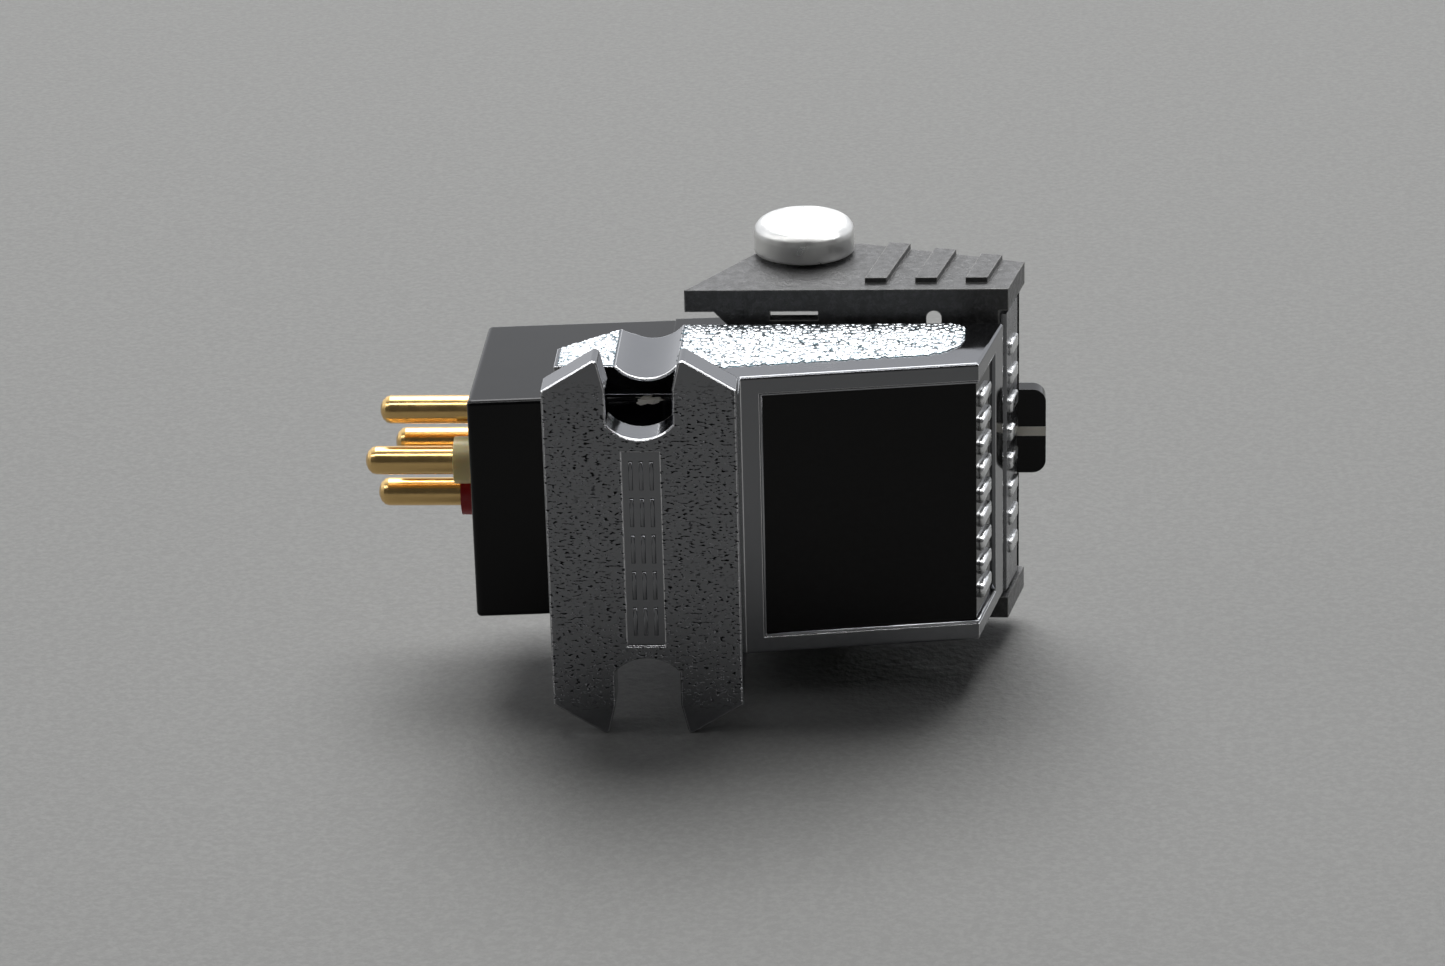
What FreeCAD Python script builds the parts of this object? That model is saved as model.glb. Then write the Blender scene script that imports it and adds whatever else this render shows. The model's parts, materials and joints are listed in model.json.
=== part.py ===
"""Moving magnet phono cartridge with a pull-off stylus and a flip-down stylus guard.

Frame, in millimetres: +Z is up, away from the record, and z = 0 is the mounting face. The origin is the
middle of that face, halfway between the two screw slots. The front, where the stylus points, is -Y. The
terminals are at +Y.
"""
import FreeCAD, Part
import math
import os

Vec = FreeCAD.Vector

# Flange that the two mounting screws hold
SLOT_SPACING = 12.7
SLOT_WIDTH = 2.8
SLOT_MOUTH = 3.46
SLOT_INBOARD = 1.3
SLOT_END_R = 1.83
FLANGE_TIP = 2.335
FLANGE_SHOULDER = 0.89
FLANGE_DEPTH = 8.16
FLANGE_NOSE_R = 0.2
FLANGE_T = 1.5
FLANGE_EDGE = 0.06
CARTOUCHE_LENGTH = 9.0
CARTOUCHE_WIDTH = 1.65
CARTOUCHE_DEPTH = 0.15
PEDESTAL_HALF = 3.5
PEDESTAL_REAR = 3.5
WEB_T = 0.9

# Chromed hood: side walls, sloping top and leaning front
HOOD_WIDTH = 12.92
HOOD_REAR_DROP = 3.43
HOOD_LENGTH = 10.1
HOOD_FALL = 1.52
HOOD_BOTTOM = -9.75
FRONT_LEAN = 12.4
HOOD_FRONT_WALL = 1.35
HOOD_EDGE = 0.15
WALL_TOP = -4.8
WALL_REAR = 3.95
WALL_REAR_DROP = 2.1
WALL_REAR_SLOPE = 42.0
CHANNEL_R = 1.75
CHANNEL_DEPTH = 0.6
FRAME_BAR = 0.78
SILL = 1.4
PANEL_RECESS = 0.7
PANEL_SUNK = 0.15
PANEL_GAP = 0.04

# Black housing that carries the terminals and the coils
BLOCK_WIDTH = 10.14
BLOCK_REAR = 7.72
BLOCK_TOP_REAR = -4.26
BLOCK_HEIGHT = 9.15
BLOCK_RAKE = 5.0
BLOCK_REAR_LEAN = 0.5
BLOCK_WALL = 0.8
REAR_WALL = 1.1
BLOCK_EDGE = 0.22
HOUSING_SPLIT = -0.7
HOUSING_FRONT = -5.1
SHELL_GAP = 0.1

# Terminals
PIN_R = 0.635
PIN_DOME = 0.47
PIN_NECK_R = 0.42
PIN_DX = 1.98
PIN_DZ = 1.12
PIN_UP = 2.26
REACH_UPPER = 5.28
REACH_LEFT = 4.66
REACH_RIGHT = 4.93
REACH_LOWER = 4.19
COLLAR_R = 1.05
COLLAR_UPPER = 1.3
COLLAR_LEFT = 0.5
COLLAR_RIGHT = 1.16
COLLAR_LOWER = 0.5
FIT = 0.02

# Coils, cores and shield
BOARD_T = 0.5
COIL_SPACE = 0.1
CAN_SIDE_ROOM = 0.64
CAN_END_ROOM = 0.345
BOBBIN_WALL = 0.2
BOBBIN_FLANGE_T = 0.3
BOBBIN_LENGTH = 4.6
WINDING_INSET = 0.12
WINDING_CORNER = 0.6
CORE_T = 0.8
CORE_H = 0.9
CORE_FIT = 0.06
CAN_T = 0.2
CAN_GAP = 0.08

# Stylus tube and everything on its slanting axis
STYLUS_ANGLE = 20.0
BEARING_Y = -5.2
BEARING_DROP = 0.775
CANTILEVER_LENGTH = 7.0
CANTILEVER_TAPER = 2.4
CANTILEVER_R = 0.3
CANTILEVER_END_R = 0.2
CANTILEVER_BORE_R = 0.2
DIAMOND_R = 0.11
DIAMOND_BACK = 0.3
DIAMOND_DROP = 0.5
TUBE_HALF = 0.95
TUBE_BORE_R = 0.76
TUBE_FRONT = -1.6
TUBE_REAR = 3.9
PLUG_T = 0.4
SLEEVE_T = 0.25
SLEEVE_GAP = 0.05
SLEEVE_FRONT = -0.6
SLEEVE_REAR = 4.05
DAMPER_T = 0.8
DAMPER_GAP = 0.06
MAGNET_R = 0.42
MAGNET_START = 0.7
MAGNET_LENGTH = 1.8
WIRE_R = 0.08
WIRE_LENGTH = 0.8
KEEL_HALF = 2.9
KEEL_WALL = 0.6
POLE_GAP = 0.05
POLE_TIP_H = 1.0

# Stylus grip
GRIP_WIDTH = 15.7
GRIP_WALL = 1.0
GRIP_DROP = 0.55
GRIP_REAR = -1.35
GRIP_REAR_FOOT = 2.85
GRIP_REAR_DEPTH = 4.6
GRIP_LOWEST_BACK = 7.6
GRIP_DEPTH = 5.95
GRIP_FRONT_DEPTH = 3.4
GRIP_FRONT_GAP = 0.12
DECK_T = 0.7
DECK_GAP = 0.15
RAIL_WIDTH = 0.7
RAIL_REAR = -2.6
SLIT_WIDTH = 0.42
SLIT_LENGTH = 2.1
SLIT_INTO_RAIL = 0.17
VENT_R = 0.33
VENT_LENGTH = 1.1
VENT_BACK = 3.24
RIB_COUNT = 3
RIB_WIDTH = 0.95
RIB_PITCH = 2.2
RIB_HEIGHT = 0.25
RIB_FRONT_MARGIN = 1.08
RIB_DROP = 0.8
RIB_BOTTOM_MARGIN = 0.45
FRONT_SKIRT_T = 0.7
FRONT_SKIRT_H = 2.7
PLATE_T = 0.3
PLATE_MARGIN = 0.25
CARRIER_HALF = 3.6
CARRIER_T = 0.8
CARRIER_BELOW = 1.6
CARRIER_GAP = 0.1

# Stylus guard with its pivots and knobs
PIVOT_Y = -6.46
PIVOT_DROP = 4.8
PIVOT_R = 0.8
PIVOT_GAP = 0.05
KNOB_R = 2.23
KNOB_T = 1.38
KNOB_NECK = 0.2
KNOB_EDGE = 0.55
GUARD_ARM_T = 0.6
GUARD_SIDE_GAP = 0.27
GUARD_HUB_R = 1.45
GUARD_BAR_H = 0.85
GUARD_BAR_T = 1.0
GUARD_BAR_GAP = 0.15
TAB_WIDTH = 4.0
TAB_REACH = 1.2
TAB_CORNER = 0.6
CUE_WIDTH = 0.45
CUE_DEPTH = 0.15

# Places that follow from the sizes above
FLANGE_HALF_X = SLOT_SPACING / 2 + FLANGE_TIP
SHOULDER_X = SLOT_SPACING / 2 + FLANGE_SHOULDER
FLANGE_HALF_Y = FLANGE_DEPTH / 2
HOOD_HALF = HOOD_WIDTH / 2
HOOD_REAR_Y = -FLANGE_HALF_Y
HOOD_REAR_Z = -HOOD_REAR_DROP
HOOD_FRONT_Y = HOOD_REAR_Y - HOOD_LENGTH
HOOD_FRONT_Z = HOOD_REAR_Z - HOOD_FALL
LEAN = math.tan(math.radians(FRONT_LEAN))
BLOCK_HALF = BLOCK_WIDTH / 2
PIN_Z = BLOCK_TOP_REAR - BLOCK_HEIGHT + PIN_UP
COIL_ROOM_X = BLOCK_HALF - BLOCK_WALL - CAN_SIDE_ROOM - CAN_T - CAN_GAP
COIL_ROOM_Z = BLOCK_HEIGHT / 2 - BLOCK_WALL - CAN_END_ROOM - CAN_T - CAN_GAP
COIL_DX = (COIL_ROOM_X + COIL_SPACE / 2) / 2
COIL_DZ = (COIL_ROOM_Z + COIL_SPACE / 2) / 2
BOBBIN_HALF_X = COIL_DX - COIL_SPACE / 2
BOBBIN_HALF_Z = COIL_DZ - COIL_SPACE / 2
RAKE = math.tan(math.radians(BLOCK_RAKE))
REAR_LEAN = math.tan(math.radians(BLOCK_REAR_LEAN))
SIN = math.sin(math.radians(STYLUS_ANGLE))
COS = math.cos(math.radians(STYLUS_ANGLE))
SLEEVE_HALF = TUBE_HALF + SLEEVE_GAP + SLEEVE_T
GRIP_HALF = GRIP_WIDTH / 2
GRIP_INNER = GRIP_HALF - GRIP_WALL
GRIP_TOP = HOOD_BOTTOM - GRIP_DROP
RIB_TOP = GRIP_TOP - RIB_DROP
FRONT_SKIRT_LOW = GRIP_TOP - FRONT_SKIRT_H
PIVOT_Z = GRIP_TOP - PIVOT_DROP
COIL_REAR = BLOCK_REAR - REAR_WALL - BOARD_T
OVER = 1.0
ROUND_STEPS = 4


def front_y(z):
    """Y of the hood's leaning front face at height z."""
    return HOOD_FRONT_Y - (HOOD_FRONT_Z - z) * LEAN


def block_top(y):
    return BLOCK_TOP_REAR - (BLOCK_REAR - y) * RAKE


def block_bottom(y):
    return block_top(y) - BLOCK_HEIGHT


def block_rear(z):
    return BLOCK_REAR - (BLOCK_TOP_REAR - z) * REAR_LEAN


BEARING_Z = block_bottom(BEARING_Y) - BEARING_DROP
TIP_Y = BEARING_Y - (CANTILEVER_LENGTH - DIAMOND_BACK) * COS
TIP_Z = BEARING_Z - (CANTILEVER_LENGTH - DIAMOND_BACK) * SIN - DIAMOND_DROP
COIL_Y = COIL_REAR - BOBBIN_LENGTH / 2
COIL_Z = (block_top(COIL_Y) + block_bottom(COIL_Y)) / 2


def box(x0, x1, y0, y1, z0, z1):
    return Part.makeBox(x1 - x0, y1 - y0, z1 - z0, Vec(x0, y0, z0))


def centred_box(half, y0, y1, z0, z1):
    return box(-half, half, y0, y1, z0, z1)


def prism_x(outline, x0, x1):
    """A (y, z) outline carried from x0 to x1."""
    points = [Vec(x0, y, z) for y, z in outline]
    face = Part.Face(Part.makePolygon(points + points[:1]))
    return face.extrude(Vec(x1 - x0, 0, 0))


def prism_z(outline, z0, z1):
    """An (x, y) outline carried from z0 to z1."""
    points = [Vec(x, y, z0) for x, y in outline]
    face = Part.Face(Part.makePolygon(points + points[:1]))
    return face.extrude(Vec(0, 0, z1 - z0))


def rod_y(x, z, y0, y1, r):
    return Part.makeCylinder(r, y1 - y0, Vec(x, y0, z), Vec(0, 1, 0))


def rod_x(x0, x1, y, z, r):
    return Part.makeCylinder(r, x1 - x0, Vec(x0, y, z), Vec(1, 0, 0))


def quarter_turn():
    """Sine and cosine of even steps through a right angle."""
    angles = [math.pi / 2 * i / ROUND_STEPS for i in range(ROUND_STEPS + 1)]
    return [(math.sin(a), math.cos(a)) for a in angles]


def turned(profile, foot, axis):
    """Body turned about an axis through foot, from a profile of places along it and radii."""
    out = Vec(0, 0, 1)
    points = [foot + axis * along + out * radius for along, radius in profile]
    return Part.Face(Part.makePolygon(points + points[:1])).revolve(foot, axis, 360)


def mirrored(shape):
    return shape.mirror(Vec(0, 0, 0), Vec(1, 0, 0))


def both_sides(shape):
    return shape.fuse(mirrored(shape))


def on_stylus_axis(shape):
    """Carries a shape from the bearing's own frame, where +Y runs back along the tube, to its place."""
    placed = shape.copy()
    turn = FreeCAD.Rotation(Vec(1, 0, 0), STYLUS_ANGLE)
    placed.Placement = FreeCAD.Placement(Vec(0, BEARING_Y, BEARING_Z), turn)
    return placed


def stylus_point(s, up):
    """The (y, z) place of a point s back along the tube's axis and up square to it."""
    return (BEARING_Y + s * COS - up * SIN, BEARING_Z + s * SIN + up * COS)


def edges_where(shape, test):
    """Edges whose middle point passes the test."""
    return [e for e in shape.Edges if test(e.valueAt((e.FirstParameter + e.LastParameter) / 2))]


def near(a, b):
    return abs(a - b) < 1e-4


def screw_slot():
    """Open slot at the +X end: a flared mouth, straight sides and a shallow round end."""
    half, mouth = SLOT_WIDTH / 2, SLOT_MOUTH / 2
    end = SLOT_SPACING / 2 - SLOT_INBOARD
    side = end + SLOT_END_R - math.sqrt(SLOT_END_R ** 2 - half ** 2)
    flare = (mouth - half) / (FLANGE_HALF_X - SHOULDER_X)
    far = FLANGE_HALF_X + OVER
    wide = half + flare * (far - SHOULDER_X)
    z = -FLANGE_T - OVER
    path = [
        Vec(side, -half, z),
        Vec(SHOULDER_X, -half, z),
        Vec(far, -wide, z),
        Vec(far, wide, z),
        Vec(SHOULDER_X, half, z),
        Vec(side, half, z),
    ]
    edges = [Part.LineSegment(a, b).toShape() for a, b in zip(path, path[1:])]
    edges.append(Part.Arc(path[-1], Vec(end, 0, z), path[0]).toShape())
    return Part.Face(Part.Wire(edges)).extrude(Vec(0, 0, FLANGE_T + 2 * OVER))


def flange():
    """Plate that narrows past the screws, with an open slot at each end and a sunk bar in the middle."""
    mouth = SLOT_MOUTH / 2
    half = [
        (SHOULDER_X, -FLANGE_HALF_Y),
        (FLANGE_HALF_X, -mouth),
        (FLANGE_HALF_X, mouth),
        (SHOULDER_X, FLANGE_HALF_Y),
    ]
    plate = prism_z(half + [(-x, -y) for x, y in half], -FLANGE_T, 0)
    plate = plate.cut(both_sides(screw_slot()))
    noses = edges_where(plate, lambda p: near(abs(p.x), FLANGE_HALF_X) and near(p.z, -FLANGE_T / 2))
    plate = plate.makeFillet(FLANGE_NOSE_R, noses)
    rim = edges_where(plate, lambda p: near(p.z, 0))
    plate = plate.makeChamfer(FLANGE_EDGE, rim)
    length, width = CARTOUCHE_LENGTH / 2, CARTOUCHE_WIDTH / 2
    return plate.cut(box(-length, length, -width, width, -CARTOUCHE_DEPTH, OVER))


def band(depth_out, depth_in, rear_y, low_z):
    """Outline of a sheet that follows the hood's top and front faces, between two depths below them."""
    fall = math.atan2(HOOD_FALL, HOOD_LENGTH)
    lean = math.radians(FRONT_LEAN)
    mitre = 1 + math.sin(fall + lean)

    def line(depth):
        top = HOOD_REAR_Z - (HOOD_REAR_Y - rear_y) * math.tan(fall) - depth / math.cos(fall)
        bend_y = HOOD_FRONT_Y + depth * (math.sin(fall) + math.cos(lean)) / mitre
        bend_z = HOOD_FRONT_Z - depth * (math.cos(fall) + math.sin(lean)) / mitre
        low_y = front_y(low_z) + depth / math.cos(lean)
        return [(rear_y, top), (bend_y, bend_z), (low_y, low_z)]

    return line(depth_out) + line(depth_in)[::-1]


def hood():
    """Side walls, top and leaning front in one casting, open below and behind."""
    slope = math.tan(math.radians(WALL_REAR_SLOPE))
    low = WALL_TOP - WALL_REAR_DROP
    rear_foot = WALL_REAR - (low - HOOD_BOTTOM) / slope
    web_rear = HOOD_REAR_Y + WEB_T
    outline = [
        (WALL_REAR, WALL_TOP),
        (WALL_REAR, low),
        (rear_foot, HOOD_BOTTOM),
        (front_y(HOOD_BOTTOM), HOOD_BOTTOM),
        (HOOD_FRONT_Y, HOOD_FRONT_Z),
        (HOOD_REAR_Y, HOOD_REAR_Z),
        (HOOD_REAR_Y, -FLANGE_T),
        (web_rear, -FLANGE_T),
        (web_rear, WALL_TOP),
    ]
    body = prism_x(outline, -HOOD_HALF, HOOD_HALF)
    rim_low = HOOD_BOTTOM + HOOD_EDGE
    rim = edges_where(body, lambda p: near(abs(p.x), HOOD_HALF) and p.y < HOOD_REAR_Y and p.z > rim_low)
    body = body.makeFillet(HOOD_EDGE, rim)
    inner = BLOCK_HALF + SHELL_GAP
    ceiling = SHELL_GAP
    front_in = front_y(HOOD_BOTTOM) + HOOD_FRONT_WALL
    roof_front = block_top(front_in) + ceiling
    top_in = front_in - (HOOD_BOTTOM - roof_front) * LEAN
    room = [
        (WALL_REAR + OVER, block_top(WALL_REAR + OVER) + ceiling),
        (WALL_REAR + OVER, HOOD_BOTTOM - OVER),
        (front_in - OVER * LEAN, HOOD_BOTTOM - OVER),
        (top_in, roof_front),
    ]
    body = body.cut(prism_x(room, -inner, inner))
    over_block = centred_box(inner, web_rear, WALL_REAR + OVER, HOOD_BOTTOM - OVER, 0)
    body = body.cut(over_block)
    channel_x = HOOD_HALF - CHANNEL_DEPTH + CHANNEL_R
    channel = Part.makeCylinder(CHANNEL_R, -HOOD_BOTTOM + OVER, Vec(channel_x, 0, HOOD_BOTTOM - OVER))
    body = body.cut(both_sides(channel))
    recess = band(-OVER / 2, PANEL_RECESS, HOOD_REAR_Y - FRAME_BAR, HOOD_BOTTOM + SILL)
    half = HOOD_HALF - FRAME_BAR
    return body.cut(prism_x(recess, -half, half))


def pedestal():
    """Neck between the flange and the housing, clear of the nuts on both sides."""
    web_rear = HOOD_REAR_Y + WEB_T
    outline = [
        (web_rear, -FLANGE_T),
        (PEDESTAL_REAR, -FLANGE_T),
        (PEDESTAL_REAR, block_top(PEDESTAL_REAR)),
        (web_rear, block_top(web_rear)),
    ]
    return prism_x(outline, -PEDESTAL_HALF, PEDESTAL_HALF)


def body_shell():
    return flange().fuse([hood(), pedestal()]).removeSplitter()


def window_panel():
    """Black insert that runs along the top and over the edge to the sill."""
    rear = HOOD_REAR_Y - FRAME_BAR - PANEL_GAP
    outline = band(PANEL_SUNK, PANEL_RECESS, rear, HOOD_BOTTOM + SILL + PANEL_GAP)
    half = HOOD_HALF - FRAME_BAR - PANEL_GAP
    return prism_x(outline, -half, half)


def pin_places():
    """Name, x and z of each terminal, with how far its tip and its collar stand out of the housing."""
    return [
        ("upper", 0, PIN_Z + PIN_DZ, REACH_UPPER, COLLAR_UPPER),
        ("left", PIN_DX, PIN_Z, REACH_LEFT, COLLAR_LEFT),
        ("right", -PIN_DX, PIN_Z, REACH_RIGHT, COLLAR_RIGHT),
        ("lower", 0, PIN_Z - PIN_DZ, REACH_LOWER, COLLAR_LOWER),
    ]


def pin_holes(y0, y1):
    return [rod_y(x, z, y0, y1, PIN_NECK_R) for _, x, z, _, _ in pin_places()]


def cavity(y0, y1):
    """Room for the coils, parallel to the housing's top and underside."""
    outline = [
        (y0, block_top(y0) - BLOCK_WALL),
        (y1, block_top(y1) - BLOCK_WALL),
        (y1, block_bottom(y1) + BLOCK_WALL),
        (y0, block_bottom(y0) + BLOCK_WALL),
    ]
    half = BLOCK_HALF - BLOCK_WALL
    return prism_x(outline, -half, half)


def terminal_block():
    low = block_bottom(BLOCK_REAR)
    outline = [
        (BLOCK_REAR, BLOCK_TOP_REAR),
        (block_rear(low), block_bottom(block_rear(low))),
        (HOUSING_SPLIT, block_bottom(HOUSING_SPLIT)),
        (HOUSING_SPLIT, block_top(HOUSING_SPLIT)),
    ]
    block = prism_x(outline, -BLOCK_HALF, BLOCK_HALF)
    rim = edges_where(block, lambda p: p.y > HOUSING_SPLIT + 0.1)
    block = block.makeFillet(BLOCK_EDGE, rim)
    block = block.cut(cavity(HOUSING_SPLIT - OVER, BLOCK_REAR - REAR_WALL))
    inner = BLOCK_REAR - REAR_WALL
    return block.cut(pin_holes(inner, BLOCK_REAR + OVER))


def front_housing():
    """Front half of the housing: the closed end, the nose inside the hood and the keel round the sleeve."""
    inner_front = front_y(HOOD_BOTTOM) + HOOD_FRONT_WALL + SHELL_GAP
    nose_top = block_top(inner_front)
    outline = [
        (HOUSING_SPLIT, block_top(HOUSING_SPLIT)),
        (HOUSING_SPLIT, block_bottom(HOUSING_SPLIT)),
        (HOUSING_FRONT, block_bottom(HOUSING_FRONT)),
        (HOUSING_FRONT, HOOD_BOTTOM),
        (inner_front, HOOD_BOTTOM),
        (inner_front - (HOOD_BOTTOM - nose_top) * LEAN, nose_top),
    ]
    body = prism_x(outline, -BLOCK_HALF, BLOCK_HALF)
    under = SLEEVE_HALF + KEEL_WALL
    rear_s = (HOUSING_SPLIT - stylus_point(0, -under)[0]) / COS
    lintel = (HOUSING_FRONT + BLOCK_WALL, block_bottom(HOUSING_FRONT) + 2 * BLOCK_WALL)
    keel = [
        stylus_point(SLEEVE_FRONT, under),
        stylus_point(SLEEVE_FRONT, -under),
        stylus_point(rear_s, -under),
        (HOUSING_SPLIT, block_bottom(HOUSING_SPLIT) + BLOCK_WALL),
        lintel,
    ]
    body = body.fuse(prism_x(keel, -KEEL_HALF, KEEL_HALF)).removeSplitter()
    body = body.cut(cavity(HOUSING_FRONT + BLOCK_WALL, HOUSING_SPLIT + OVER))
    pole_room = COIL_DX + CORE_T / 2 + POLE_GAP
    well_front = MAGNET_START - 2 * POLE_GAP
    well = [
        stylus_point(well_front, POLE_TIP_H + 3 * POLE_GAP),
        stylus_point(well_front, -SLEEVE_HALF),
        stylus_point(rear_s, -SLEEVE_HALF),
        (HOUSING_SPLIT + OVER, stylus_point(rear_s, -SLEEVE_HALF)[1]),
        (HOUSING_SPLIT + OVER, lintel[1]),
        lintel,
    ]
    body = body.cut(prism_x(well, -pole_room, pole_room))
    bore = centred_box(SLEEVE_HALF, SLEEVE_FRONT - OVER, SLEEVE_REAR, -SLEEVE_HALF, SLEEVE_HALF)
    return body.cut(on_stylus_axis(bore))


def terminal_pin(x, z, reach, collar_reach):
    """Plated pin in one turning: a neck through board, wall and collar, and a shank with a blunt end."""
    root = BLOCK_REAR + collar_reach
    dome = BLOCK_REAR + reach - PIN_DOME
    profile = [
        (COIL_REAR, 0),
        (COIL_REAR, PIN_NECK_R),
        (root, PIN_NECK_R),
        (root, PIN_R),
    ]
    profile += [(dome + PIN_DOME * s, PIN_R * c) for s, c in quarter_turn()]
    return turned(profile, Vec(x, 0, z), Vec(0, 1, 0))


def collar(x, z, reach):
    """Coloured insulating bush between the housing's rear wall and the pin's shank."""
    seat, end = block_rear(z + COLLAR_R), BLOCK_REAR + reach
    return rod_y(x, z, seat, end, COLLAR_R).cut(rod_y(x, z, seat - OVER, end + OVER, PIN_NECK_R))


def terminal_board():
    y1 = BLOCK_REAR - REAR_WALL
    half = BLOCK_HALF - BLOCK_WALL - CAN_GAP
    y0 = y1 - BOARD_T
    margin = BLOCK_WALL + CAN_GAP
    board = centred_box(half, y0, y1, block_bottom(y1) + margin, block_top(y0) - margin)
    return board.cut(pin_holes(y0 - OVER, y1 + OVER))


def core_bar(x, z, y0, y1, side, height, corner=0):
    """Bar along a coil's axis with half that width and height, its long edges sharp or rounded."""
    bar = box(x - side, x + side, y0, y1, z - height, z + height)
    if corner == 0:
        return bar
    return bar.makeFillet(corner, edges_where(bar, lambda p: near(p.y, (y0 + y1) / 2)))


def bobbin(x, z):
    """Moulded coil former with a square hub and square end flanges."""
    y0, y1 = COIL_REAR - BOBBIN_LENGTH, COIL_REAR
    bore_x, bore_z = CORE_T / 2 + CORE_FIT, CORE_H / 2 + CORE_FIT
    hub = core_bar(x, z, y0, y1, bore_x + BOBBIN_WALL, bore_z + BOBBIN_WALL)
    front = core_bar(x, z, y0, y0 + BOBBIN_FLANGE_T, BOBBIN_HALF_X, BOBBIN_HALF_Z)
    rear = core_bar(x, z, y1 - BOBBIN_FLANGE_T, y1, BOBBIN_HALF_X, BOBBIN_HALF_Z)
    shape = hub.fuse([front, rear]).removeSplitter()
    return shape.cut(core_bar(x, z, y0 - OVER, y1 + OVER, bore_x, bore_z))


def winding(x, z):
    """Fine wire wound full on the former, as one body with soft corners."""
    y0, y1 = COIL_REAR - BOBBIN_LENGTH + BOBBIN_FLANGE_T, COIL_REAR - BOBBIN_FLANGE_T
    hub = CORE_FIT + BOBBIN_WALL
    side, height = BOBBIN_HALF_X - WINDING_INSET, BOBBIN_HALF_Z - WINDING_INSET
    coil = core_bar(x, z, y0, y1, side, height, WINDING_CORNER)
    return coil.cut(core_bar(x, z, y0 - OVER, y1 + OVER, CORE_T / 2 + hub, CORE_H / 2 + hub))


def shield_can():
    """Open-ended box of thin sheet round the four coils."""
    half_x = COIL_ROOM_X + CAN_GAP
    half_z = COIL_ROOM_Z + CAN_GAP
    y1 = COIL_REAR
    y0 = y1 - BOBBIN_LENGTH
    outer = box(-half_x - CAN_T, half_x + CAN_T, y0, y1, COIL_Z - half_z - CAN_T, COIL_Z + half_z + CAN_T)
    return outer.cut(box(-half_x, half_x, y0 - OVER, y1 + OVER, COIL_Z - half_z, COIL_Z + half_z))


def pole_piece(upper):
    """Flat lamination stack: a core through the coil, an arm down the housing and a tip beside the magnet."""
    side = 1 if upper else -1
    z = COIL_Z + side * COIL_DZ
    start, end = MAGNET_START, MAGNET_START + MAGNET_LENGTH
    lift = POLE_GAP * 2
    low, high = (lift, lift + POLE_TIP_H) if upper else (-lift - POLE_TIP_H, -lift)
    back = end if upper else end + POLE_TIP_H
    tip_front_low = stylus_point(start, low)
    tip_front_high = stylus_point(start, high)
    tip_rear_low = stylus_point(back, low)
    tip_rear_high = stylus_point(back, high)
    arm_y1 = tip_rear_high[0]
    arm_y0 = arm_y1 - CORE_H
    foot = (arm_y0, tip_rear_high[1] - (arm_y1 - arm_y0) * SIN / COS)
    outline = [
        (COIL_REAR - POLE_GAP, z - CORE_H / 2),
        (arm_y1, z - CORE_H / 2),
        tip_rear_high,
        tip_rear_low,
        tip_front_low,
        tip_front_high,
        foot,
        (arm_y0, z + CORE_H / 2),
        (COIL_REAR - POLE_GAP, z + CORE_H / 2),
    ]
    return prism_x(outline, COIL_DX - CORE_T / 2, COIL_DX + CORE_T / 2)


def socket_sleeve():
    inner = TUBE_HALF + SLEEVE_GAP
    outer = centred_box(SLEEVE_HALF, SLEEVE_FRONT, SLEEVE_REAR, -SLEEVE_HALF, SLEEVE_HALF)
    hole = centred_box(inner, SLEEVE_FRONT - OVER, SLEEVE_REAR + OVER, -inner, inner)
    return on_stylus_axis(outer.cut(hole))


def shank_tube():
    tube = centred_box(TUBE_HALF, TUBE_FRONT, TUBE_REAR, -TUBE_HALF, TUBE_HALF)
    return on_stylus_axis(tube.cut(rod_y(0, 0, TUBE_FRONT - OVER, TUBE_REAR + OVER, TUBE_BORE_R)))


def tube_plug():
    return on_stylus_axis(rod_y(0, 0, TUBE_REAR - PLUG_T, TUBE_REAR, TUBE_BORE_R - FIT))


def damper_ring():
    ring = rod_y(0, 0, -DAMPER_T / 2, DAMPER_T / 2, TUBE_BORE_R - DAMPER_GAP)
    return on_stylus_axis(ring.cut(rod_y(0, 0, -OVER, OVER, CANTILEVER_R + DAMPER_GAP)))


def magnet():
    return on_stylus_axis(rod_y(0, 0, MAGNET_START, MAGNET_START + MAGNET_LENGTH, MAGNET_R))


def tie_wire():
    start = MAGNET_START + MAGNET_LENGTH
    return on_stylus_axis(rod_y(0, 0, start, start + WIRE_LENGTH, WIRE_R))


def cantilever():
    """Thin tube from the magnet, through the damper, that tapers to the diamond."""
    taper = CANTILEVER_TAPER
    front = -CANTILEVER_LENGTH
    straight = rod_y(0, 0, front + taper, MAGNET_START, CANTILEVER_R)
    nose = Part.makeCone(CANTILEVER_END_R, CANTILEVER_R, taper, Vec(0, front, 0), Vec(0, 1, 0))
    tube = straight.fuse(nose).removeSplitter()
    tube = tube.cut(rod_y(0, 0, front + taper, MAGNET_START + OVER, CANTILEVER_BORE_R))
    tube = on_stylus_axis(tube)
    hole = Part.makeCylinder(DIAMOND_R + FIT / 2, 2 * DIAMOND_DROP, Vec(0, TIP_Y, TIP_Z + DIAMOND_R))
    return tube.cut(hole)


def diamond_tip():
    """Ground diamond: a round shank set through the cantilever's end, with a cone below."""
    cone = 2 * DIAMOND_R
    top = DIAMOND_DROP + CANTILEVER_END_R
    point = Part.makeCone(0, DIAMOND_R, cone, Vec(0, TIP_Y, TIP_Z))
    shank = Part.makeCylinder(DIAMOND_R, top - cone, Vec(0, TIP_Y, TIP_Z + cone))
    return point.fuse(shank).removeSplitter()


def grip_front(z):
    """Y of the front edge of the grip's side plates, in line with the hood's front."""
    return front_y(z) - GRIP_FRONT_GAP


def grip_front_corner():
    z = GRIP_TOP - GRIP_FRONT_DEPTH
    return grip_front(z), z


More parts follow.
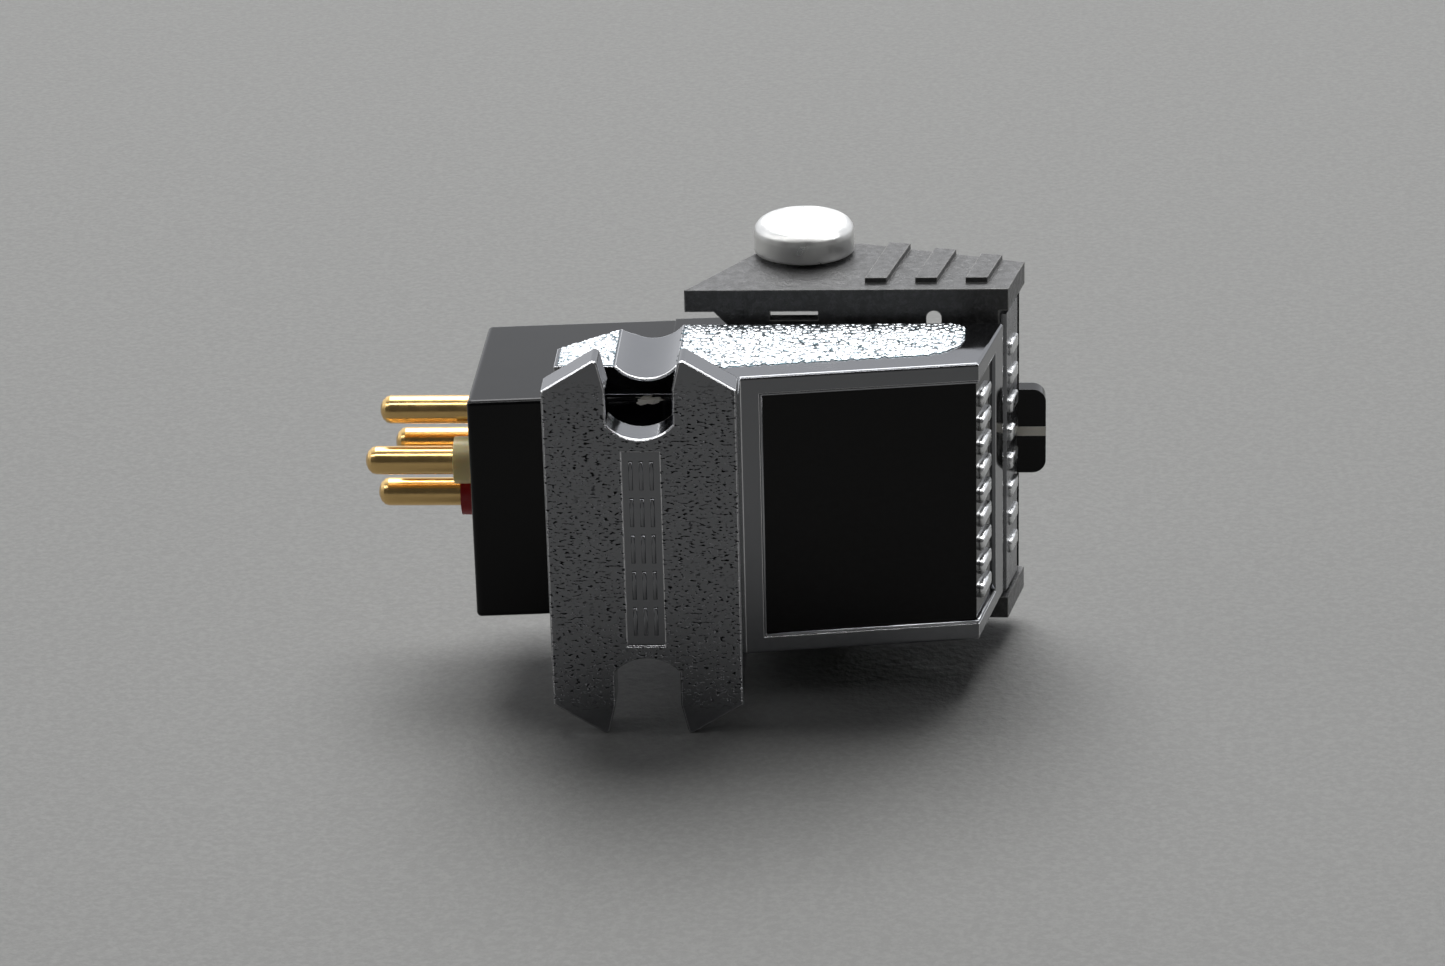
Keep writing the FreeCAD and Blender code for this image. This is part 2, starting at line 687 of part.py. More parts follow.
def side_plate():
    corner_y, corner_z = grip_front_corner()
    outline = [
        (GRIP_REAR, GRIP_TOP),
        (GRIP_REAR - GRIP_REAR_FOOT, GRIP_TOP - GRIP_REAR_DEPTH),
        (GRIP_REAR - GRIP_LOWEST_BACK, GRIP_TOP - GRIP_DEPTH),
        (corner_y, corner_z),
        (grip_front(GRIP_TOP), GRIP_TOP),
    ]
    plate = prism_x(outline, GRIP_INNER, GRIP_HALF)
    bore = rod_x(GRIP_INNER - OVER, GRIP_HALF + OVER, PIVOT_Y, PIVOT_Z, PIVOT_R + PIVOT_GAP)
    return plate.cut(bore)


def lower_edge(y):
    """Height of the side plate's lower front edge at y."""
    y0, z0 = GRIP_REAR - GRIP_LOWEST_BACK, GRIP_TOP - GRIP_DEPTH
    y1, z1 = grip_front_corner()
    return z0 + (z1 - z0) * (y - y0) / (y1 - y0)


def finger_ribs():
    """Raised ribs on the plate's outer face that lean with its front edge."""
    ribs = []
    for i in range(RIB_COUNT):
        top = grip_front(RIB_TOP) + RIB_FRONT_MARGIN + RIB_WIDTH + i * RIB_PITCH
        foot = lower_edge(top) + RIB_BOTTOM_MARGIN
        shift = (RIB_TOP - foot) * LEAN
        outline = [
            (top, RIB_TOP),
            (top - RIB_WIDTH, RIB_TOP),
            (top - RIB_WIDTH - shift, foot + RIB_WIDTH * LEAN),
            (top - shift, foot),
        ]
        ribs.append(prism_x(outline, GRIP_HALF - FIT, GRIP_HALF + RIB_HEIGHT))
    return ribs


def deck():
    """Plate under the hood that ties the side plates together, with a slit, a vent and two rear rails."""
    front = grip_front(GRIP_TOP) + GRIP_FRONT_GAP + PLATE_T + FRONT_SKIRT_T / 2
    rail = GRIP_INNER - RAIL_WIDTH
    outline = [
        (rail, RAIL_REAR - RAIL_WIDTH),
        (GRIP_INNER + FIT, RAIL_REAR),
        (GRIP_INNER + FIT, front),
        (-GRIP_INNER - FIT, front),
        (-GRIP_INNER - FIT, RAIL_REAR),
        (-rail, RAIL_REAR - RAIL_WIDTH),
        (-rail, HOUSING_FRONT - DECK_GAP),
        (rail, HOUSING_FRONT - DECK_GAP),
    ]
    plate = prism_z(outline, GRIP_TOP - DECK_T, GRIP_TOP)
    low, high = GRIP_TOP - OVER, GRIP_TOP + OVER
    slit_y = HOUSING_FRONT - DECK_GAP + SLIT_INTO_RAIL
    slit = box(GRIP_INNER - SLIT_WIDTH, GRIP_INNER, slit_y - SLIT_LENGTH, slit_y, low, high)
    vent_y = grip_front(GRIP_TOP) + VENT_BACK
    out, back = GRIP_INNER - VENT_R, GRIP_INNER - VENT_LENGTH + VENT_R
    vent = box(back, out, vent_y - VENT_R, vent_y + VENT_R, low, high)
    ends = [Part.makeCylinder(VENT_R, 2 * OVER, Vec(x, vent_y, low)) for x in (back, out)]
    return plate.cut([both_sides(slit), both_sides(vent.fuse(ends))])


def front_skirt():
    def face(z, inset):
        return front_y(z) + inset

    outline = [
        (face(GRIP_TOP, PLATE_T), GRIP_TOP),
        (face(FRONT_SKIRT_LOW, PLATE_T), FRONT_SKIRT_LOW),
        (face(FRONT_SKIRT_LOW, PLATE_T + FRONT_SKIRT_T), FRONT_SKIRT_LOW),
        (face(GRIP_TOP, PLATE_T + FRONT_SKIRT_T), GRIP_TOP),
    ]
    return prism_x(outline, -GRIP_INNER - FIT, GRIP_INNER + FIT)


def carrier():
    """Slanting cross wall of the grip that holds the tube in front of the sleeve."""
    rear = SLEEVE_FRONT - CARRIER_GAP
    front = rear - CARRIER_T
    rise = (GRIP_TOP - BEARING_Z) / COS + OVER
    wall = centred_box(CARRIER_HALF, front, rear, -CARRIER_BELOW, rise)
    wall = on_stylus_axis(wall)
    span = box(-GRIP_HALF, GRIP_HALF, 2 * TIP_Y, 0, 2 * TIP_Z, GRIP_TOP - DECK_T / 2)
    wall = wall.common(span)
    hole = centred_box(TUBE_HALF, front - OVER, rear + OVER, -TUBE_HALF, TUBE_HALF)
    return wall.cut(on_stylus_axis(hole))


def stylus_grip():
    side = side_plate().fuse(finger_ribs())
    return deck().fuse([side, mirrored(side), front_skirt(), carrier()]).removeSplitter()


def front_plate():
    """Bright plate on the face of the grip's front skirt."""
    high, low = GRIP_TOP - PLATE_MARGIN, FRONT_SKIRT_LOW + PLATE_MARGIN
    outline = [
        (front_y(high), high),
        (front_y(low), low),
        (front_y(low) + PLATE_T, low),
        (front_y(high) + PLATE_T, high),
    ]
    half = GRIP_INNER - PLATE_MARGIN
    return prism_x(outline, -half, half)


def guard_bar_top():
    return FRONT_SKIRT_LOW - GUARD_BAR_GAP


def stylus_guard():
    """Two arms from the pivots to a bar under the front plate, with the lift tab in its middle."""
    outer = GRIP_INNER - GUARD_SIDE_GAP
    top = guard_bar_top()
    low = top - GUARD_BAR_H
    bar_front = front_y(top)
    bar_rear = bar_front + GUARD_BAR_T
    arm = [
        (PIVOT_Y, PIVOT_Z + GUARD_HUB_R),
        (PIVOT_Y, PIVOT_Z - GUARD_HUB_R),
        (bar_rear, low),
        (bar_front, low),
        (bar_front, top),
        (bar_rear, top),
    ]
    side = prism_x(arm, outer - GUARD_ARM_T, outer)
    side = side.fuse(rod_x(outer - GUARD_ARM_T, outer, PIVOT_Y, PIVOT_Z, GUARD_HUB_R))
    side = side.cut(rod_x(0, GRIP_HALF, PIVOT_Y, PIVOT_Z, PIVOT_R))
    bar = centred_box(outer, bar_front, bar_rear, low, top)
    tab = centred_box(TAB_WIDTH / 2, bar_front - TAB_REACH, bar_front + FIT, low, top)
    corners = edges_where(tab, lambda p: near(p.y, bar_front - TAB_REACH) and near(abs(p.x), TAB_WIDTH / 2))
    tab = tab.makeFillet(TAB_CORNER, corners)
    guard = bar.fuse([side, mirrored(side), tab]).removeSplitter()
    return guard.cut(cue_groove(OVER))


def cue_groove(over):
    """Groove across the tab's top, or the strip that fills it where over is nothing."""
    top = guard_bar_top()
    front = front_y(top) - TAB_REACH
    return centred_box(CUE_WIDTH / 2, front - over, front_y(top) + CUE_DEPTH, top - CUE_DEPTH, top + over)


def pivot_pin():
    """Left pivot: from the guard's arm out through the grip's side plate into the knob."""
    inner = GRIP_INNER - GUARD_SIDE_GAP - GUARD_ARM_T
    return rod_x(inner, GRIP_HALF + KNOB_NECK + KNOB_T / 2, PIVOT_Y, PIVOT_Z, PIVOT_R)


def knob():
    """Round button with a rolled rim, bored for the pivot pin."""
    base = GRIP_HALF + KNOB_NECK
    inner_r, rim = KNOB_R - KNOB_EDGE, KNOB_T - KNOB_EDGE
    profile = [(0, 0), (0, KNOB_R)]
    profile += [(rim + KNOB_EDGE * s, inner_r + KNOB_EDGE * c) for s, c in quarter_turn()]
    profile.append((KNOB_T, 0))
    button = turned(profile, Vec(base, PIVOT_Y, PIVOT_Z), Vec(1, 0, 0))
    return button.cut(rod_x(0, base + KNOB_T / 2, PIVOT_Y, PIVOT_Z, PIVOT_R))


def nodes():
    """Every piece by name, as the real one comes apart."""
    parts = {
        "body_shell": body_shell(),
        "window_panel": window_panel(),
        "terminal_block": terminal_block(),
        "front_housing": front_housing(),
        "terminal_board": terminal_board(),
        "shield_can": shield_can(),
        "socket_sleeve": socket_sleeve(),
        "stylus_grip": stylus_grip(),
        "front_plate": front_plate(),
        "shank_tube": shank_tube(),
        "tube_plug": tube_plug(),
        "damper_ring": damper_ring(),
        "magnet": magnet(),
        "tie_wire": tie_wire(),
        "cantilever": cantilever(),
        "diamond_tip": diamond_tip(),
        "stylus_guard": stylus_guard(),
        "cue_line": cue_groove(0),
        "pivot_pin_left": pivot_pin(),
        "pivot_pin_right": mirrored(pivot_pin()),
        "knob_left": knob(),
        "knob_right": mirrored(knob()),
    }
    for name, x, z, reach, collar_reach in pin_places():
        parts["terminal_pin_" + name] = terminal_pin(x, z, reach, collar_reach)
        parts["collar_" + name] = collar(x, z, collar_reach)
    for level, side in (("upper", 1), ("lower", -1)):
        z = COIL_Z + side * COIL_DZ
        pole = pole_piece(side > 0)
        for hand, x in (("left", COIL_DX), ("right", -COIL_DX)):
            parts["bobbin_" + level + "_" + hand] = bobbin(x, z)
            parts["winding_" + level + "_" + hand] = winding(x, z)
            parts["pole_piece_" + level + "_" + hand] = pole if x > 0 else mirrored(pole)
    return parts


os.makedirs("parts", exist_ok=True)
for node, shape in nodes().items():
    shape.exportStep("parts/" + node + ".step")
    box_size = shape.BoundBox
    print(node, shape.isValid(), len(shape.Solids), round(shape.Volume, 3),
          round(box_size.XLength, 2), round(box_size.YLength, 2), round(box_size.ZLength, 2))
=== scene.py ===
"""Looks of a moving magnet phono cartridge around its CAD frame: finishes, fine relief, stage and camera."""
import json
import math

import bmesh
import bpy
from mathutils import Matrix, Vector, noise


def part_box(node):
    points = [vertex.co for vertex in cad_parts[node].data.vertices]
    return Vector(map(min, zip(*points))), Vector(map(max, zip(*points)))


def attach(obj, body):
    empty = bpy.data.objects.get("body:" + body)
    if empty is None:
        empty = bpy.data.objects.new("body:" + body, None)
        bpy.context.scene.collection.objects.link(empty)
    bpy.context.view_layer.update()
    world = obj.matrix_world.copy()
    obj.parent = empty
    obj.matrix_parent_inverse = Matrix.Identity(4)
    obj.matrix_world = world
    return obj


bl_info = {
    "name": "Phono Cartridge Looks",
    "version": (1, 0, 0),
    "blender": (4, 5, 0),
    "location": "View3D > Sidebar > Cartridge",
    "description": "Dresses the packed phono cartridge with its finishes, relief, stage and camera",
    "category": "Object",
}

MM = 0.001
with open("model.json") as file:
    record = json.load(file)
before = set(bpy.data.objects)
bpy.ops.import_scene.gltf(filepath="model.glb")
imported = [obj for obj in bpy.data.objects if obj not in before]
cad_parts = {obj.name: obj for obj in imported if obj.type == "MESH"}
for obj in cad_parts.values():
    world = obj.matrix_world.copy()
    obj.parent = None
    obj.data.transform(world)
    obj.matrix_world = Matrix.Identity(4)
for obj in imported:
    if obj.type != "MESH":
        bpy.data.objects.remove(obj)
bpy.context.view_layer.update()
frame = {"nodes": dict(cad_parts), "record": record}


def box_mm(node):
    """Lowest and highest corner of a CAD node, in millimetres."""
    low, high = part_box(node)
    return low / MM, high / MM


SHELL_LOW = box_mm("body_shell")[0]
KNOB_LOW = box_mm("knob_right")[0]
KNOB_EDGE = 0.55  # the knob lies on the floor where its rounded edge of this radius ends

ACROSS = Vector((1, 0, 0))
LENGTHWISE = Vector((0, 1, 0))
UPWARD = Vector((0, 0, 1))


class BodySettings(bpy.types.PropertyGroup):
    """Sizes, in millimetres, of the casting and of the relief on it."""
    wall_x: bpy.props.FloatProperty(
        name="Wall face", description="Outer face of the hood's side wall", default=6.46)
    hood_rear_y: bpy.props.FloatProperty(
        name="Hood rear", description="Rear end of the hood's sloping top", default=-4.08)
    hood_rear_z: bpy.props.FloatProperty(
        name="Hood rear height", description="Height of that end", default=-3.43)
    hood_front_y: bpy.props.FloatProperty(
        name="Hood bend", description="Bend from the top to the front", default=-14.18)
    hood_front_z: bpy.props.FloatProperty(
        name="Hood bend height", description="Height of the bend", default=-4.95)
    hood_bottom: bpy.props.FloatProperty(
        name="Hood bottom", description="Lower edge of the wall", default=-9.75)
    wall_top: bpy.props.FloatProperty(
        name="Wall top", description="Top of the wall under the flange", default=-4.8)
    front_lean: bpy.props.FloatProperty(
        name="Front lean", description="Lean of the front face", default=math.radians(12.4), subtype="ANGLE")
    frame_bar: bpy.props.FloatProperty(
        name="Frame bar", description="Width of the hood's frame beside the window", default=0.78)
    sill: bpy.props.FloatProperty(
        name="Sill", description="Height of the sill under the window", default=1.4)
    channel_radius: bpy.props.FloatProperty(
        name="Channel radius", description="Radius of the screw channel in the wall", default=1.75)
    channel_depth: bpy.props.FloatProperty(
        name="Channel depth", description="How far the channel goes into the wall", default=0.6)
    pebble: bpy.props.FloatProperty(
        name="Pebble", description="Width of one pebble of the cast skin", default=0.27)
    pebble_height: bpy.props.FloatProperty(
        name="Pebble height", description="Height of a pebble", default=0.06)
    chrome: bpy.props.StringProperty(
        name="Chrome", description="Colour of the chrome, sRGB hex", default="828386")


class StageSettings(bpy.types.PropertyGroup):
    """Floor, light and camera."""
    focal: bpy.props.FloatProperty(
        name="Focal length", description="Lens on a 36 mm wide sensor", default=112.11, unit="CAMERA")
    floor_colour: bpy.props.StringProperty(
        name="Floor", description="Colour of the floor, sRGB hex", default="8a8a88")
    fleck_colour: bpy.props.StringProperty(
        name="Fleck", description="Colour of the floor's fibres", default="949492")
    backdrop: bpy.props.StringProperty(
        name="Backdrop", description="Pale backdrop behind the object", default="f4f6fa")
    room: bpy.props.StringProperty(
        name="Room", description="Dim room on the viewer's side", default="484848")
    fill: bpy.props.StringProperty(
        name="Fill", description="Faint light from all round", default="101010")
    main_power: bpy.props.FloatProperty(
        name="Main softbox", description="Power of the light above", default=6.4, unit="POWER")
    front_power: bpy.props.FloatProperty(
        name="Front strip", description="Power of the light for the edges", default=0.8, unit="POWER")
    terminal_power: bpy.props.FloatProperty(
        name="Terminal softbox", description="Power of the light on the pins", default=0.13, unit="POWER")
    side_power: bpy.props.FloatProperty(
        name="Side strip", description="Power of the light on the front's bars", default=0.25, unit="POWER")


def srgb(text):
    """Linear colour of an sRGB hex value."""
    values = [int(text[i:i + 2], 16) / 255 for i in (0, 2, 4)]
    return tuple(v / 12.92 if v <= 0.04045 else ((v + 0.055) / 1.055) ** 2.4 for v in values) + (1.0,)


def add(tree, kind, settings, links):
    """Adds one node with its settings, and gives its inputs their values or links."""
    node = tree.nodes.new("ShaderNode" + kind)
    for key, value in settings.items():
        setattr(node, key, value)
    for key, value in links.items():
        if isinstance(value, bpy.types.NodeSocket):
            tree.links.new(value, node.inputs[key])
        else:
            node.inputs[key].default_value = value
    return node


class Finish:
    """A material under construction: shader, coordinates in millimetres and a chain of relief."""

    def __init__(self, name, colour, metallic, roughness, soft_edge=0.0):
        self.material = bpy.data.materials.new(name)
        self.material.use_nodes = True
        self.tree = self.material.node_tree
        self.tree.nodes.clear()
        self.shader = self.add("BsdfPrincipled", {}, {"Base Color": srgb(colour), "Metallic": metallic,
                                                      "Roughness": roughness})
        self.add("OutputMaterial", {}, {"Surface": self.shader.outputs[0]})
        place = self.add("TexCoord", {}, {})
        self.mm = self.add("Mapping", {}, {"Vector": place.outputs["Object"],
                                           "Scale": (1 / MM, 1 / MM, 1 / MM)}).outputs[0]
        self.normal = None
        if soft_edge:
            self.normal = self.add("Bevel", {"samples": 6}, {"Radius": soft_edge * MM}).outputs[0]
            self.set(Normal=self.normal)

    def add(self, kind, settings, links):
        return add(self.tree, kind, settings, links)

    def set(self, **links):
        """Gives the shader's inputs their values or links."""
        for key, value in links.items():
            socket = self.shader.inputs[key.replace("_", " ")]
            if isinstance(value, bpy.types.NodeSocket):
                self.tree.links.new(value, socket)
            else:
                socket.default_value = value

    def noise(self, size, detail=2.0, rough=0.5):
        """Noise whose features have this size in millimetres, or these sizes along X, Y and Z."""
        sizes = size if isinstance(size, tuple) else (size,) * 3
        vector = self.add("Mapping", {}, {"Vector": self.mm, "Scale": tuple(1 / s for s in sizes)}).outputs[0]
        return self.add("TexNoise", {}, {"Vector": vector, "Scale": 1.0, "Detail": detail,
                                         "Roughness": rough}).outputs[0]

    def math(self, operation, a, b=0.0):
        return self.add("Math", {"operation": operation}, {0: a, 1: b}).outputs[0]

    def ramp(self, value, low, high, out_low=0.0, out_high=1.0):
        """Smooth step of a value from one pair of limits to another."""
        links = {"Value": value, "From Min": low, "From Max": high, "To Min": out_low, "To Max": out_high}
        return self.add("MapRange", {"interpolation_type": "SMOOTHSTEP"}, links).outputs[0]

    def mix(self, factor, a, b):
        """Blends two colours, each a socket or an sRGB hex value."""
        first, second = (srgb(value) if isinstance(value, str) else value for value in (a, b))
        return self.add("Mix", {"data_type": "RGBA"}, {"Factor": factor, 6: first, 7: second}).outputs[2]

    # edge mask: real wear on the grained plastic, a painted highlight on the chrome
    def edge_wear_and_highlight(self, reach, sharp=0.97):
        """How close a point is to a sharp edge, 0 to 1, within that reach in millimetres."""
        rounded = self.add("Bevel", {"samples": 8}, {"Radius": reach * MM}).outputs[0]
        flat = self.add("NewGeometry", {}, {}).outputs["Normal"]
        same = self.add("VectorMath", {"operation": "DOT_PRODUCT"}, {0: rounded, 1: flat}).outputs["Value"]
        return self.ramp(same, 1.0, sharp)

    def relief(self, height, depth_mm):
        """Adds relief of that depth on top of what is there."""
        links = {"Height": height, "Distance": depth_mm * MM, "Strength": 1.0}
        if self.normal:
            links["Normal"] = self.normal
        self.normal = self.add("Bump", {}, links).outputs[0]
        self.set(Normal=self.normal)


def chrome_casting():
    """Chrome on a zinc die casting: a near mirror that shows the floor and the backdrop.

    The flange's face has the casting's pinholes, long along Y, with painted shade inside them, and its sharp
    edges get a painted highlight of paler chrome."""
    chrome = bpy.context.scene.cartridge_body.chrome
    face_z, pit_size, crowd_size, pit_depth = -0.03, (0.085, 0.24, 0.3), (2.4, 1.7, 2.0), 0.012
    f = Finish("chromed_zinc_casting", chrome, 1.0, 0.08, 0.06)
    axes = f.add("SeparateXYZ", {}, {"Vector": f.mm}).outputs
    on_face = f.math("GREATER_THAN", axes[2], face_z)
    pits = f.ramp(f.noise(pit_size), 0.56, 0.615)
    crowd = f.ramp(f.noise(crowd_size), 0.26, 0.42)
    middle = f.ramp(f.math("ABSOLUTE", axes[0]), 6.2, 8.0, 1.0, 0.0)
    pits = f.math("MULTIPLY", f.math("MULTIPLY", pits, crowd), f.math("MULTIPLY", on_face, middle))
    f.relief(f.math("MULTIPLY", pits, -1.0), pit_depth)
    f.relief(f.noise(0.8), 0.003)
    # pale chrome along the sharp edges: a painted highlight
    edge_highlight_colour = f.mix(f.edge_wear_and_highlight(0.05), chrome, "f0f0f2")
    # the pits are painted near black: painted shade inside the pinholes
    f.set(Base_Color=f.mix(pits, edge_highlight_colour, "0c0c0d"))
    haze = f.ramp(f.noise(1.4, 3.0), 0.35, 0.7, 0.06, 0.13)
    f.set(Roughness=f.math("ADD", haze, f.math("MULTIPLY", pits, 0.5)))
    return f.material


def pebbled_chrome():
    """The same chrome over the pebbled skin, but painted paler on the pebbles as a painted highlight, so that
    they flash white, and painted dark in the seams between them as painted shade.
    """
    crown, seam_shade_colour, seam_low, seam_high = "c8ccd0", "42555c", 0.021, 0.041
    f = Finish("chromed_pebbled_skin", crown, 1.0, 0.27)
    out = f.math("ABSOLUTE", f.add("SeparateXYZ", {}, {"Vector": f.mm}).outputs[0])
    wall = bpy.context.scene.cartridge_body.wall_x
    seam = f.ramp(out, wall + seam_low, wall + seam_high, 1.0, 0.0)
    # seams painted dark by their depth: painted shade; the crowns' pale colour is a painted highlight
    f.set(Base_Color=f.mix(seam, crown, seam_shade_colour))
    f.relief(f.noise(0.06, 1.0), 0.003)
    return f.material


def gloss_moulding(name, colour, rough):
    """Gloss moulded plastic: deep black that mirrors softly, its edges just broken."""
    f = Finish(name, colour, 0.0, rough, 0.06)
    f.set(Specular_IOR_Level=0.27, IOR=1.49)
    f.relief(f.noise(3.0), 0.0015)
    f.set(Roughness=f.ramp(f.noise((0.9, 1.6, 0.9), 4.0, 0.65), 0.35, 0.75, rough * 0.8, rough * 1.5))
    return f.material


def grained_moulding(name, colour, rough):
    """Matt moulded plastic with the fine spark grain of the tool, greyer where it is rubbed."""
    grain, depth = 0.15, 0.03
    f = Finish(name, colour, 0.0, rough, 0.05)
    f.set(IOR=1.5, Specular_IOR_Level=0.9, Sheen_Weight=0.4, Sheen_Roughness=0.35)
    f.relief(f.noise(grain, 2.0, 0.6), depth)
    f.relief(f.noise(0.5, 2.0, 0.6), depth * 1.2)
    rub = f.ramp(f.noise(0.3, 4.0, 0.8), 0.42, 0.68)
    worn = f.math("MULTIPLY", f.edge_wear_and_highlight(0.09), f.ramp(f.noise(0.4, 3.0), 0.3, 0.6, 0.3, 1.0))
    f.set(Base_Color=f.mix(worn, f.mix(rub, colour, "38383a"), "8c8b88"))
    f.set(Roughness=f.ramp(f.noise(0.35, 3.0), 0.3, 0.7, rough - 0.08, rough + 0.1))
    return f.material


def plain_metal(name, colour, rough, grain=(0.05, 0.05, 0.05), depth=0.002, edge=0.04):
    """Bare or plated metal with fine marks of its making."""
    f = Finish(name, colour, 1.0, rough, edge)
    f.relief(f.noise(grain, 2.0, 0.6), depth)
    f.set(Roughness=f.ramp(f.noise(0.7, 3.0), 0.3, 0.7, rough * 0.8, rough * 1.3))
    return f.material


def plain_plastic(name, colour, rough, cloudy=0.0):
    """Small plain plastic part with slight unevenness. A cloudy one lets light spread inside it."""
    f = Finish(name, colour, 0.0, rough, 0.03)
    if cloudy:
        f.set(Subsurface_Weight=cloudy, Subsurface_Scale=0.5 * MM, Subsurface_Radius=(1.0, 0.6, 0.3))
    f.relief(f.noise(0.3), 0.004)
    f.set(Roughness=f.ramp(f.noise(0.5, 3.0), 0.3, 0.7, rough * 0.85, rough * 1.2))
    return f.material


def wound_wire():
    """Enamelled copper wire in close turns, warm and ribbed. A turn is drawn coarser than it is, to show."""
    wire, wave_share = 0.12, 3.2
    f = Finish("enamelled_copper_wire", "a8542a", 1.0, 0.3)
    turns = f.add("TexWave", {"bands_direction": "Y"},
                  {"Vector": f.mm, "Scale": 1 / wire / wave_share}).outputs[1]
    f.relief(turns, 0.02)
    return f.material


def ground_diamond():
    """Clear ground diamond: a bright point that bends what is behind it."""
    f = Finish("ground_diamond", "f2f6fa", 0.0, 0.05)
    f.set(IOR=2.4, Transmission_Weight=0.7)
    f.relief(f.noise(0.04, 1.0), 0.0005)
    return f.material


def paper_floor():
    """Grey paper that looks paler at a low angle, seen from its upper side only."""
    stage = bpy.context.scene.cartridge_stage
    f = Finish("pale_paper", stage.floor_colour, 0.0, 0.6)
    f.relief(f.noise(0.5, 3.0, 0.6), 0.06)
    fleck = f.ramp(f.noise(0.35, 3.0, 0.7), 0.35, 0.7)
    f.set(Base_Color=f.mix(fleck, stage.floor_colour, stage.fleck_colour))
    clear = f.add("BsdfTransparent", {}, {})
    back = f.add("NewGeometry", {}, {}).outputs["Backfacing"]
    both = f.add("MixShader", {}, {0: back, 1: f.shader.outputs[0], 2: clear.outputs[0]})
    out = next(n for n in f.tree.nodes if n.type == "OUTPUT_MATERIAL")
    f.tree.links.new(both.outputs[0], out.inputs[0])
    return f.material


FINISHES = {}
OWN_FINISH = {"window_panel": "panel", "cue_line": "cue_paint"}


def build_finishes():
    """Makes each finish once. The keys are the record's slots, and a few finishes of scene pieces."""
    FINISHES.update({
        "chrome_shell": chrome_casting(),
        "pebbles": pebbled_chrome(),
        # moulded housing: mirrors softly, so the top goes grey and the front stays black
        "black_gloss": gloss_moulding("gloss_black_abs", "060608", 0.1),
        # window: flatter and deeper black than the housing
        "panel": gloss_moulding("gloss_black_acrylic", "030304", 0.04),
        # stylus unit: dull, with grey rubbed patches and pale edges
        "black_matte": grained_moulding("grained_black_nylon", "101011", 0.5),
        # raised bars and channel rims: chrome painted far paler than the casting's, a painted highlight that
        # makes their crowns stand out from the smoother chrome
        "bar_chrome": plain_metal("chrome_painted_highlight", "eeeff0", 0.24, depth=0.0006),
        # bead: chrome painted paler than the casting's, a painted highlight
        "bead_chrome": plain_metal("bead_chrome_painted_highlight", "a8a9ac", 0.16, depth=0.0002),
        # pins: warm, with a sharp line of light along the drawn grain
        "gold": plain_metal("gold_plate_on_brass", "ecc684", 0.21, (0.05, 0.4, 0.05), 0.0007),
        # bushes: slightly cloudy or plain coloured plastic
        "cream": plain_plastic("cream_nylon", "ffe6a8", 0.4, 0.5),
        "red": plain_plastic("red_nylon", "b3141b", 0.4),
        "blue": plain_plastic("blue_nylon", "1f3f96", 0.4),
        "green": plain_plastic("green_nylon", "1c7038", 0.4),
        # dull and nearly white, against the black housing
        "residue": plain_plastic("dried_residue", "f4eee0", 0.5),
        "cue_paint": plain_plastic("pale_paint", "f0ece0", 0.5),
        # brown resin board, and the milky bobbins of the coils
        "board": plain_plastic("phenolic_board", "7a4d26", 0.5),
        "bobbin": plain_plastic("natural_acetal", "dcd8cc", 0.45),
        "copper": wound_wire(),
        # soft grey, from the heat it was softened in
        "nickel_iron": plain_metal("annealed_nickel_iron", "b2b0ac", 0.35),
        # tubes: pale, with streaks of the drawing along them
        "aluminium": plain_metal("drawn_aluminium", "d4d5d8", 0.28, (0.04, 0.6, 0.04)),
        # knobs: white gloss with a broad soft edge
        "silver": plain_metal("satin_nickel_plate", "e6e6e4", 0.34, (0.05, 0.05, 0.05), 0.0012, 0.2),
        # stylus unit's front: a smoky mirror
        "dark_chrome": plain_metal("smoked_chrome", "8b8c8f", 0.24),
        "rubber": plain_plastic("butyl_rubber", "141414", 0.75),
        "magnet": plain_metal("sintered_magnet", "55565a", 0.5),
        "diamond": ground_diamond(),
    })


def new_piece(name, form, body, finish):
    """Makes a finished piece of a form in millimetres that rides on a body."""
    bmesh.ops.scale(form, vec=(MM, MM, MM), verts=form.verts)
    bmesh.ops.recalc_face_normals(form, faces=form.faces)
    mesh = bpy.data.meshes.new(name)
    form.to_mesh(mesh)
    form.free()
    mesh.polygons.foreach_set("use_smooth", [True] * len(mesh.polygons))
    mesh.materials.append(FINISHES[finish])
    piece = bpy.data.objects.new(name, mesh)
    bpy.context.scene.collection.objects.link(piece)
    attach(piece, body)


def pebble_skin(across, along, place, pebble, height):
    """Closed skin of pebbles. place(u, v, out) gives the point at u, v in 0..1, so far out of the wall."""
    rim_steps, seam_width, dome_reach, dome_share, base, root = 3, 0.3, 0.75, 0.3, 0.01, -0.03
    form = bmesh.new()
    bmesh.ops.create_grid(form, x_segments=across, y_segments=along, size=0.5)
    for vert in form.verts:
        u, v = vert.co.x + 0.5, vert.co.y + 0.5
        steps_in = min(min(u, 1 - u) * across, min(v, 1 - v) * along)
        rim = min(1.0, steps_in / rim_steps)
        nearest, second = noise.voronoi(place(u, v, 0.0) / pebble)[0][:2]
        seam = min(1.0, (second - nearest) / seam_width)
        dome = max(0.0, 1 - (nearest / dome_reach) ** 2)
        out = base + height * rim * (seam * (2 - seam) * (1 - dome_share) + dome * dome_share)
        vert.co = place(u, v, out if steps_in > 0.5 else root)
    rim_edges = [e for e in form.edges if e.is_boundary]
    bmesh.ops.holes_fill(form, edges=rim_edges, sides=0)
    return form


def hood_top_z(y):
    """Height of the hood's sloping top at that place along it."""
    b = bpy.context.scene.cartridge_body
    slope = (b.hood_front_z - b.hood_rear_z) / (b.hood_front_y - b.hood_rear_y)
    return b.hood_rear_z + slope * (y - b.hood_rear_y)


def front_y(z):
    """Place of the hood's leaning front at that height."""
    b = bpy.context.scene.cartridge_body
    return b.hood_front_y - (b.hood_front_z - z) * math.tan(b.front_lean)


